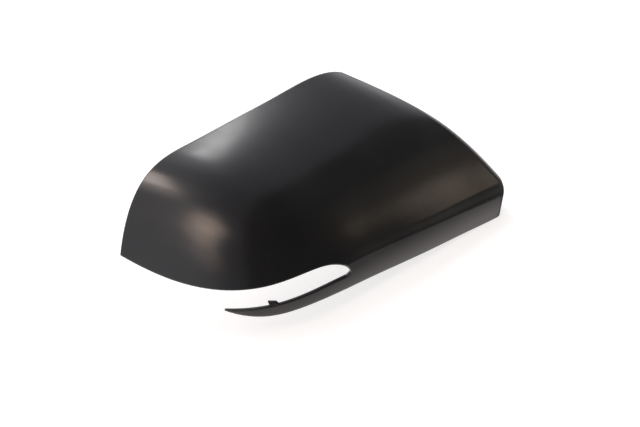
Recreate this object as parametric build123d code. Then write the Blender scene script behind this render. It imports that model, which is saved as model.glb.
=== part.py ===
from build123d import *
import os

# Wing mirror cover: the moulded cap that snaps over the front of a car's door mirror.
# The seat plane of the rear rim is Y = 0, the front faces -Y, the door end is +X and up is +Z.
wall = 2.6

# Crease, the most forward line of the skin, from beyond the door end round to behind the rim's outer end
crease_points = [
    (170, -115, -71),
    (60, -106.5, -64),
    (-30, -101, -58.5),
    (-75, -92.5, -58.5),
    (-99, -71, -60),
    (-113, -37, -60),
    (-121, 0, -60),
    (-127, 40, -60),
]
crease_radius = 10.0
door_crease_radius = 18.0
crease_fade = 3
section_count = 12

# Upright sections: square to the front, then fanned round an axis behind the rim at the outer end
fan_x = -55.0
fan_y = 45.0
fan_gap = 20.0
spine_z = 4.9
spine_rise = 0.08
spine_fall_from = 64.0
spine_fall_radius = 60.0
door_shoulder_back = 34.5
outer_shoulder_back = 6.0
door_shoulder_z = -14.5
outer_shoulder_z = 3.0
door_toe_inset = 6.0
outer_toe_inset = 3.0
toe_drop = 45.0
door_fullness = 0.9
outer_fullness = 0.64

# Door end: a leaning wall, which stands upright below its knee
end_top = (98.0, 6.0)
end_knee = (147.0, -70.0)
end_round = 20.0
end_edge_radius = 12.0

# Trim outline, drawn square to a line of sight that is turned from the front towards the outer end
sight_turn = 53.0
lens_edge = [(-90, -43.5), (-48, -57.3), (-16, -60), (14, -57.6), (36, -54.5), (52, -56), (60, -61), (63.5, -68)]
strip_top = [(61, -69.5), (36, -69.3), (10, -72), (-2, -73)]
strip_tip = (-10, -73.5)
bottom_edge = [(-2, -75.8), (15, -77.8), (36, -77), (73, -80), (116, -85.5), (180, -92)]

# Small hooked tab on the upper edge of the strip
tab_at = (-82.0, -84.5, -71.2)
tab_width = 6.0
tab_height = 2.0
tab_root = 2.4
tab_thickness = 2.0

# Snap claws: a blade with a barb, either on a post that stands on the skin or straight out of the front
claw_width = 10.0
claw_length = 22.0
claw_thickness = 2.0
claw_gap = 5.0
claw_post = 4.0
claw_setback = 2.0
barb_height = 2.2
barb_length = 5.4
gusset_thickness = 1.8
gusset_length = 10.0
top_claws_at = [(-50.0, -9.0), (15.0, -7.6), (78.0, -8.0)]
outer_claw_at = (-106.0, -30.0)
door_claw_at = (113.0, -32.0)
front_claw_x = [30.0, 105.0]
front_claw_tip = (-86.5, -75.0)

# Locating posts: crossed ribs with a pin at the end
post_x = [-38.0, 62.0]
post_z = -40.0
post_end_y = -58.0
rib_width = 12.0
rib_thickness = 2.0
pin_diameter = 5.0
pin_length = 9.0
pin_chamfer = 0.8

# Reach of the blocks that trim the skin
far = 400.0


def blend(share, at_door, at_outer):
    return at_door + (at_outer - at_door) * share


def spine_height(x):
    # The top line of the skin rises towards the door end and falls again just before it
    return spine_z + spine_rise * x - max(x - spine_fall_from, 0) ** 2 / (2 * spine_fall_radius)


def offset_corners(corners, insets):
    # Moves an open outline inwards, to the right of its direction of travel
    lines = []
    for start, end, inset in zip(corners, corners[1:], insets):
        along = (end - start).normalized()
        inward = Vector(along.Y, -along.X)
        lines.append((start + inward * inset, along))
    moved = [lines[0][0]]
    for (point_a, along_a), (point_b, along_b) in zip(lines, lines[1:]):
        gap = point_b - point_a
        cross = along_a.X * along_b.Y - along_a.Y * along_b.X
        reach = (gap.X * along_b.Y - gap.Y * along_b.X) / cross
        moved.append(point_a + along_a * reach)
    moved.append(lines[-1][0] + (corners[-1] - corners[-2]))
    return moved


def skin_section(line, share, inset):
    # One upright section, from the spine over the shoulder and the crease down to the toe
    crease_point = line @ share
    root = Vector(max(crease_point.X, fan_x), fan_y, 0)
    outward = Vector(crease_point.X, crease_point.Y, 0) - root
    reach = outward.length
    outward = outward.normalized()
    travel = line % share
    slant = abs(outward.cross(Vector(travel.X, travel.Y, 0).normalized()).Z)
    spine = spine_height(root.X + outward.X * fan_gap)
    shoulder_back = blend(share, door_shoulder_back, outer_shoulder_back)
    shoulder_z = blend(share, door_shoulder_z, outer_shoulder_z)
    toe_inset = blend(share, door_toe_inset, outer_toe_inset)
    fullness = blend(share, door_fullness, outer_fullness)
    radius = blend(1 - (1 - share) ** crease_fade, door_crease_radius, crease_radius)
    corners = [
        Vector(fan_gap, spine),
        Vector(reach - shoulder_back, shoulder_z),
        Vector(reach, crease_point.Z),
        Vector(reach - toe_inset, crease_point.Z - toe_drop),
    ]
    # A section that meets the skin at a slant needs a larger inset for the same wall
    top, shoulder, crease, toe = offset_corners(corners, [inset, inset / slant, inset / slant])
    heel = Vector(top.X, toe.Y)
    roof = Bezier(top, top + (shoulder - top) * fullness, crease + (shoulder - crease) * fullness, crease)
    face = make_face([roof, Line(crease, toe), Line(toe, heel), Line(heel, top)])
    corner = face.vertices().sort_by_distance(crease)[0]
    plane = Plane(root, x_dir=outward, z_dir=outward.cross(Vector(0, 0, 1)))
    return plane * fillet(corner, radius - inset)


def end_block(inset):
    # Everything on the outer side of the door end's wall
    top = Vector(*end_top)
    knee = Vector(*end_knee)
    corners = [top + (top - knee) * 3, knee, Vector(knee.X, -far)]
    high, bend, low = offset_corners(corners, [inset, inset])
    face = make_face(Polyline(high, bend, low, (-far, low.Y), (-far, high.Y), close=True))
    corner = face.vertices().sort_by_distance(bend)[0]
    return extrude(Plane.XZ * fillet(corner, end_round - inset), amount=far, both=True)


def lump(inset):
    # The cover as a solid lump, with its skin moved inwards by the inset
    line = Spline(*crease_points)
    shares = [number / (section_count - 1) for number in range(section_count)]
    body = loft([skin_section(line, share, inset) for share in shares])
    block = end_block(inset)
    cut = body & block
    edges = new_edges(body, block, combined=cut)
    edges = edges.filter_by_position(Axis.Y, -far, fan_y - fan_gap - 2)
    edges = edges.filter_by_position(Axis.Z, crease_points[0][2] - toe_drop + 5, far)
    return fillet(edges, end_edge_radius - inset)


def trim_block():
    # The lens edge, slot, strip and bottom edge seen along the line of sight, cut off at the rim plane
    outline = [
        Spline(*lens_edge),
        Line(lens_edge[-1], strip_top[0]),
        Spline(*strip_top),
        Line(strip_top[-1], strip_tip),
        Spline(strip_tip, *bottom_edge),
        Polyline(bottom_edge[-1], (far, bottom_edge[-1][1]), (far, far), (-far, far), (-far, lens_edge[0][1]),
                 lens_edge[0]),
    ]
    sight = Rotation(0, 0, -sight_turn) * (Plane.XZ * make_face(outline))
    return extrude(sight, amount=far, both=True) & (Pos(0, -far / 2, 0) * Box(2 * far, far, 2 * far))


def shell():
    # The skin between two lumps, cut to the trim outline
    return (lump(0) - lump(wall)) & trim_block()


def strip_tab():
    outline = Polyline(
        (-tab_width / 2 + 0.4, -tab_root),
        (-tab_width / 2 + 0.4, tab_height * 0.3),
        (-tab_width / 2 - 0.3, tab_height),
        (tab_width / 2 - 1.4, tab_height),
        (tab_width / 2, tab_height * 0.3),
        (tab_width / 2, -tab_root),
        close=True,
    )
    tab = extrude(make_face(outline), amount=tab_thickness / 2, both=True)
    return Pos(*tab_at) * Rotation(0, 0, -sight_turn) * (Plane.XZ * tab)


def blade():
    # Lies along +X with the tip at the origin and the barb towards +Y
    crest = claw_thickness + barb_height
    outline = Polyline(
        (-claw_length, 0),
        (0, 0),
        (0, claw_thickness / 2),
        (-barb_length + 1.2, crest),
        (-barb_length, crest),
        (-barb_length, claw_thickness),
        (-claw_length, claw_thickness),
        close=True,
    )
    return extrude(make_face(outline), amount=claw_width / 2, both=True)


def gusset(*corners):
    return extrude(make_face(Polyline(*corners, close=True)), amount=gusset_thickness / 2, both=True)


def post_claw():
    root = 2 * claw_gap
    post = Pos(-claw_length + claw_post / 2, -root / 2, 0) * Box(claw_post, root, claw_width)
    back = -claw_length - gusset_length
    return blade() + post + gusset((-claw_length, claw_thickness), (-claw_length, -root), (back, -root))


def front_claw():
    return blade() + gusset((-claw_length, 0), (-claw_length + gusset_length, 0), (-claw_length, -gusset_length))


def locating_post():
    # Stands along +Z with the foot of the pin at the origin
    length = post_end_y - crease_points[0][1]
    upright = Pos(0, 0, -length / 2) * Box(rib_thickness, rib_width, length)
    level = Pos(0, 0, -length / 2) * Box(rib_width, rib_thickness, length)
    disc = Pos(0, 0, -rib_thickness / 2) * Cylinder(rib_width / 2, rib_thickness)
    pin = Pos(0, 0, pin_length / 2) * Cylinder(pin_diameter / 2, pin_length)
    return upright + level + disc + chamfer(pin.edges().sort_by(Axis.Z)[-1], pin_chamfer)


def claws():
    placed = []
    for x, z in top_claws_at:
        placed.append(Plane((x, -claw_setback, z), x_dir=(0, 1, 0), z_dir=(-1, 0, 0)) * post_claw())
    outer_x, outer_z = outer_claw_at
    placed.append(Plane((outer_x, -claw_setback, outer_z), x_dir=(0, 1, 0), z_dir=(0, 0, -1)) * post_claw())
    door_x, door_z = door_claw_at
    up_the_wall = (end_top[0] - end_knee[0], 0, end_top[1] - end_knee[1])
    placed.append(Plane((door_x, -claw_setback, door_z), x_dir=(0, 1, 0), z_dir=up_the_wall) * post_claw())
    for x in front_claw_x:
        placed.append(Plane((x, *front_claw_tip), x_dir=(0, 1, 0), z_dir=(-1, 0, 0)) * front_claw())
    return placed


def posts():
    return [Plane((x, post_end_y, post_z), x_dir=(1, 0, 0), z_dir=(0, 1, 0)) * locating_post() for x in post_x]


def mirror_cover():
    # The feet of the inner features end half way through the wall
    middle = lump(wall / 2)
    inner_features = [feature & middle for feature in claws() + posts()]
    return shell().fuse(strip_tab(), *inner_features)


os.makedirs("parts", exist_ok=True)
export_step(mirror_cover(), "parts/mirror_cover.step")
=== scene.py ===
import math

import bpy
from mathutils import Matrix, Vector


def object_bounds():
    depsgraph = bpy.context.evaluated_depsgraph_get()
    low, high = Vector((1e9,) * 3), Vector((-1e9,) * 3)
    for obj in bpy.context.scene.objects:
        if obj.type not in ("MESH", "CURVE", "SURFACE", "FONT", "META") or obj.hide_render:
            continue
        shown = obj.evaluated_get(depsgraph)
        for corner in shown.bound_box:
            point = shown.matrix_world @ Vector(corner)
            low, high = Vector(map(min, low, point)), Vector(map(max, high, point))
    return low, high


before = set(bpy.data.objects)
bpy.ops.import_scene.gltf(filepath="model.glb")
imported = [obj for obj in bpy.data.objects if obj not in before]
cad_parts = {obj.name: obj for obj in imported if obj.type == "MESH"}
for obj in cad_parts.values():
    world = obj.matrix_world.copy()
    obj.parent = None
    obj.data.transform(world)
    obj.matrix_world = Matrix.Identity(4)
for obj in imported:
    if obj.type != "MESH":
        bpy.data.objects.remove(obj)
cad_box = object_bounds()
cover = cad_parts["mirror_cover"]

# Camera: the photograph's line of sight, in metres and degrees
camera_aim = Vector((-0.0016, -0.058, -0.0514))
camera_azimuth = -53.9
camera_elevation = 25.8
camera_roll = 0.95
camera_distance = 0.937
camera_lens = 85.0
camera_clip = 0.01

# Black plastic: satin outside with a faint orange peel, dull inside with the mould's fine grain
plastic_dark = (0.006, 0.006, 0.0062, 1.0)
plastic_light = (0.009, 0.009, 0.0092, 1.0)
plastic_ior = 1.5
satin_low = 0.19
satin_high = 0.23
mottle_size = 0.03
mottle_detail = 4
mottle_range = (0.3, 0.7)
peel_size = 0.003
peel_detail = 1
peel_height = 0.000003
grain_size = 0.0012
grain_detail = 2
grain_height = 0.00003
inside_dullness = 0.2
inside_blend = 0.002
hollow_middle = (0.01, -0.02, -0.06)
edge_radius = 0.0012
edge_samples = 6

# Lower band: a slight bulge in the shading, between two depths that are measured along band_down
down = (0, 0, -1)
band_down = (0.02, 0, -1)
band_top = 0.0655
band_bottom = 0.0875
band_lean = 0.16

# Studio: soft glows around the object, brightest at their middle and fading to a dark room
# Azimuth, elevation, full and outer radius in degrees as seen from the object, radiance, colour
white = (1.0, 1.0, 1.0)
warm = (1.0, 0.76, 0.62)
room = (0.08, 0.08, 0.08)
glows = {
    "grey_half": (-156, 3, 101, 108, 0.26, (0.94, 0.92, 1.08)),
    "pale_half": (-156, 3, 62, 96, 0.68, (1.0, 0.98, 1.0)),
    "rear_right": (125.3, 35.9, 0.5, 3, 12.5, white),
    "rear_right_soft": (128, 46, 2, 9, 0.4, (0.97, 0.95, 1.05)),
    "rear_left": (-134, 60, 2, 11, 1.8, (1.0, 0.88, 0.8)),
    "warm_top": (-80, 58, 2, 13, 1.2, warm),
    "warm_high": (-78, 45, 2, 15, 4.4, warm),
    "warm_low": (-83, 31, 2, 14, 3.6, warm),
    "warm_foot": (-82, 15, 2, 14, 1.4, warm),
    "door_side": (98, 4, 6, 24, 0.8, white),
    "front_dim": (74, 36, 6, 20, 0.04, white),
    "below": (0, -90, 36, 60, 1.85, (1.0, 0.93, 0.9)),
    "warm_wall": (55, 11, 2, 7.4, 1.18, (1.0, 0.8, 0.62)),
    "warm_wall_top": (60, 19, 3, 14, 0.22, (1.0, 0.84, 0.7)),
    "crease_dim": (60, -9, 6, 20, 0.25, (1.0, 0.9, 0.82)),
}

# Softbox above the rear left: its place and size in degrees as seen from the object
softbox_azimuth = -159
softbox_elevation = 56
softbox_width = 20
softbox_height = 24
softbox_distance = 3.0
softbox_radiance = 8.0
softbox_colour = (1.0, 0.85, 0.76)

# Floor
floor_size = 12.0
floor_colour = (0.5, 0.497, 0.494, 1.0)
floor_roughness = 0.9
floor_shine = 0.1
floor_glow = 1.45


def direction(azimuth, elevation):
    # Points away from the object; azimuth 0 lies towards -Y and 90 towards +X
    turn = math.radians(azimuth)
    rise = math.radians(elevation)
    return Vector((math.sin(turn) * math.cos(rise), -math.cos(turn) * math.cos(rise), math.sin(rise)))


def facing(way):
    return way.to_track_quat("-Z", "Y").to_euler()


def new_material(name):
    material = bpy.data.materials.new(name)
    material.use_nodes = True
    return material


def noise(tree, place, size, detail):
    texture = tree.nodes.new("ShaderNodeTexNoise")
    texture.inputs["Scale"].default_value = 1 / size
    texture.inputs["Detail"].default_value = detail
    tree.links.new(place, texture.inputs["Vector"])
    return texture.outputs["Fac"]


def ramp(tree, source, start, end, low, high, interpolation="LINEAR"):
    # Goes from low at the start to high at the end, and stays level beyond them
    scale = tree.nodes.new("ShaderNodeMapRange")
    scale.interpolation_type = interpolation
    scale.inputs["From Min"].default_value = start
    scale.inputs["From Max"].default_value = end
    scale.inputs["To Min"].default_value = low
    scale.inputs["To Max"].default_value = high
    tree.links.new(source, scale.inputs["Value"])
    return scale.outputs["Result"]


def vector_math(tree, operation, *values):
    # Takes sockets or constants
    step = tree.nodes.new("ShaderNodeVectorMath")
    step.operation = operation
    for socket, value in zip(step.inputs, values):
        if isinstance(value, bpy.types.NodeSocket):
            tree.links.new(value, socket)
        else:
            socket.default_value = value
    return step.outputs["Value" if operation == "DOT_PRODUCT" else "Vector"]


def inside_mask(tree, coordinates):
    # 1 where a face looks towards the middle of the hollow, 0 where it looks away
    inwards = vector_math(tree, "SUBTRACT", hollow_middle, coordinates.outputs["Object"])
    facing_in = vector_math(tree, "DOT_PRODUCT", inwards, coordinates.outputs["Normal"])
    return ramp(tree, facing_in, -inside_blend, inside_blend, 0, 1)


def plastic_colour(tree, mottle):
    colours = tree.nodes.new("ShaderNodeMix")
    colours.data_type = "RGBA"
    colours.inputs["A"].default_value = plastic_dark
    colours.inputs["B"].default_value = plastic_light
    tree.links.new(ramp(tree, mottle, *mottle_range, 0, 1), colours.inputs["Factor"])
    return colours.outputs["Result"]


def plastic_roughness(tree, mottle, inside):
    roughness = tree.nodes.new("ShaderNodeMath")
    roughness.operation = "MULTIPLY_ADD"
    roughness.inputs[1].default_value = inside_dullness
    tree.links.new(inside, roughness.inputs[0])
    tree.links.new(ramp(tree, mottle, *mottle_range, satin_low, satin_high), roughness.inputs[2])
    return roughness.outputs["Value"]


def soft_edges(tree):
    edges = tree.nodes.new("ShaderNodeBevel")
    edges.samples = edge_samples
    edges.inputs["Radius"].default_value = edge_radius
    return edges.outputs["Normal"]


def bulged_band(tree, place, normal):
    # The normals of the lower band lean downwards, more and more towards its lower edge
    depth = vector_math(tree, "DOT_PRODUCT", place, band_down)
    lean = vector_math(tree, "MULTIPLY", down, ramp(tree, depth, band_top, band_bottom, 0, band_lean))
    return vector_math(tree, "NORMALIZE", vector_math(tree, "ADD", normal, lean))


def bump(tree, source, height, normal):
    relief = tree.nodes.new("ShaderNodeBump")
    relief.inputs["Distance"].default_value = height
    tree.links.new(source, relief.inputs["Height"])
    tree.links.new(normal, relief.inputs["Normal"])
    return relief


def plastic_relief(tree, place, inside):
    # The peel covers everything, and the grain is added on the inside only
    smooth = bulged_band(tree, place, soft_edges(tree))
    peel = bump(tree, noise(tree, place, peel_size, peel_detail), peel_height, smooth)
    grain = bump(tree, noise(tree, place, grain_size, grain_detail), grain_height, peel.outputs["Normal"])
    tree.links.new(inside, grain.inputs["Strength"])
    return grain.outputs["Normal"]


def black_plastic():
    material = new_material("black_plastic")
    tree = material.node_tree
    coordinates = tree.nodes.new("ShaderNodeTexCoord")
    place = coordinates.outputs["Object"]
    inside = inside_mask(tree, coordinates)
    mottle = noise(tree, place, mottle_size, mottle_detail)
    shader = tree.nodes["Principled BSDF"]
    shader.inputs["IOR"].default_value = plastic_ior
    tree.links.new(plastic_colour(tree, mottle), shader.inputs["Base Color"])
    tree.links.new(plastic_roughness(tree, mottle, inside), shader.inputs["Roughness"])
    tree.links.new(plastic_relief(tree, place, inside), shader.inputs["Normal"])
    return material


def finish_cover():
    cover.data.materials.clear()
    cover.data.materials.append(black_plastic())


def pale_floor():
    material = new_material("pale_floor")
    shader = material.node_tree.nodes["Principled BSDF"]
    shader.inputs["Base Color"].default_value = floor_colour
    shader.inputs["Roughness"].default_value = floor_roughness
    shader.inputs["Specular IOR Level"].default_value = floor_shine
    shader.inputs["Emission Color"].default_value = floor_colour
    shader.inputs["Emission Strength"].default_value = floor_glow
    return material


def add_floor():
    half = floor_size / 2
    level = cad_box[0].z
    mesh = bpy.data.meshes.new("floor")
    corners = [(-half, -half, level), (half, -half, level), (half, half, level), (-half, half, level)]
    mesh.from_pydata(corners, [], [(0, 1, 2, 3)])
    mesh.materials.append(pale_floor())
    floor = bpy.data.objects.new("floor", mesh)
    bpy.context.scene.collection.objects.link(floor)
    # The plastic mirrors the glow from below in its place, which keeps the crease dark
    floor.visible_glossy = False


def glow_light(tree, towards, azimuth, elevation, inner, outer, radiance, colour):
    # Fades from its full radius to its outer radius
    nearness = vector_math(tree, "DOT_PRODUCT", towards, direction(azimuth, elevation))
    start = math.cos(math.radians(outer))
    end = math.cos(math.radians(inner))
    return vector_math(tree, "MULTIPLY", colour, ramp(tree, nearness, start, end, 0, radiance, "SMOOTHSTEP"))


def add_studio():
    world = bpy.data.worlds.new("studio")
    world.use_nodes = True
    tree = world.node_tree
    towards = tree.nodes.new("ShaderNodeTexCoord").outputs["Generated"]
    total = room
    for glow in glows.values():
        total = vector_math(tree, "ADD", total, glow_light(tree, towards, *glow))
    tree.links.new(total, tree.nodes["Background"].inputs["Color"])
    bpy.context.scene.world = world


def add_softbox():
    lamp = bpy.data.lights.new("softbox", "AREA")
    lamp.shape = "RECTANGLE"
    lamp.size = 2 * softbox_distance * math.tan(math.radians(softbox_width / 2))
    lamp.size_y = 2 * softbox_distance * math.tan(math.radians(softbox_height / 2))
    lamp.energy = softbox_radiance * math.pi * lamp.size * lamp.size_y
    lamp.color = softbox_colour
    away = direction(softbox_azimuth, softbox_elevation)
    box = bpy.data.objects.new("softbox", lamp)
    box.location = (cad_box[0] + cad_box[1]) / 2 + away * softbox_distance
    box.rotation_euler = facing(-away)
    box.visible_camera = False
    bpy.context.scene.collection.objects.link(box)


def add_camera():
    camera = bpy.data.objects.new("camera", bpy.data.cameras.new("camera"))
    away = direction(camera_azimuth, camera_elevation)
    camera.location = camera_aim + away * camera_distance
    camera.rotation_euler = facing(-away)
    camera.rotation_euler.rotate_axis("Z", math.radians(camera_roll))
    camera.data.lens = camera_lens
    camera.data.clip_start = camera_clip
    bpy.context.scene.collection.objects.link(camera)
    bpy.context.scene.camera = camera


finish_cover()
add_floor()
add_studio()
add_softbox()
add_camera()
bpy.context.scene.view_settings.view_transform = "Standard"

bpy.context.view_layer.update()
